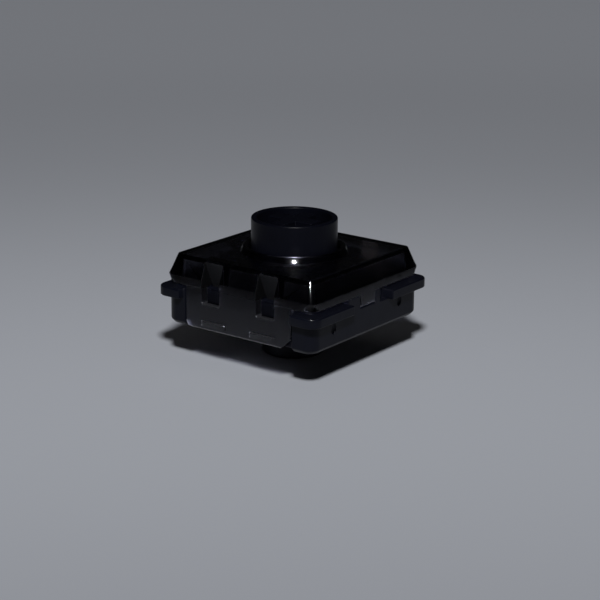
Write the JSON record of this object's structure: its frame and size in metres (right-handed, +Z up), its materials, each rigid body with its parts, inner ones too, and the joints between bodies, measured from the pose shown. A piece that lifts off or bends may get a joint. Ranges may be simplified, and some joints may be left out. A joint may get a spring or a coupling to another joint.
{
  "type": "low-profile mechanical keyboard switch",
  "caption": "Low-profile keyboard switch: square housing with flange ears and a centre post, smoked cover, ring stem with a cross for the keycap, return spring and leaf contacts.",
  "frame": {"origin": "axis of the centre post in the plane of the circuit board's top", "axes": "+Z up to the keycap, -Y the plain front, +Y the side of the two solder pins"},
  "size_m": [0.015, 0.015, 0.011],
  "materials": {
    "base_plastic": "dark navy, satin moulded",
    "cover_plastic": "smoked, clear and polished",
    "stem_plastic": "dark navy, satin moulded",
    "spring_steel": "drawn wire",
    "terminal_brass": "stamped sheet",
    "leaf_bronze": "rolled spring bronze",
    "contact_silver": "silver alloy"
  },
  "bodies": {
    "housing": {"base_housing": "base_plastic", "top_cover": "cover_plastic", "return_spring": "spring_steel", "leaf_terminal": "terminal_brass", "fixed_terminal": "terminal_brass", "fixed_contact_point": "contact_silver"},
    "stem": {"stem": "stem_plastic"},
    "leaf": {"contact_leaf": "leaf_bronze", "leaf_contact_point": "contact_silver"}
  },
  "joints": [
    {"name": "stem_press", "type": "slide", "parent": "housing", "child": "stem", "axis": [0, 0, -1], "range_m": [0, 0.0025], "stiffness_N_per_m": 100, "springref_m": -0.0035, "deforming": ["return_spring"]},
    {"name": "leaf_flex", "type": "hinge", "parent": "housing", "child": "leaf", "pos_m": [-0.00425, 0.005, 0.0027], "axis": [0, 0, 1], "range_deg": [0, 2.4]}
  ],
  "couplings": [
    {"joint": "leaf_flex", "follows": "stem_press", "rad_per_m": 16.783}
  ]
}
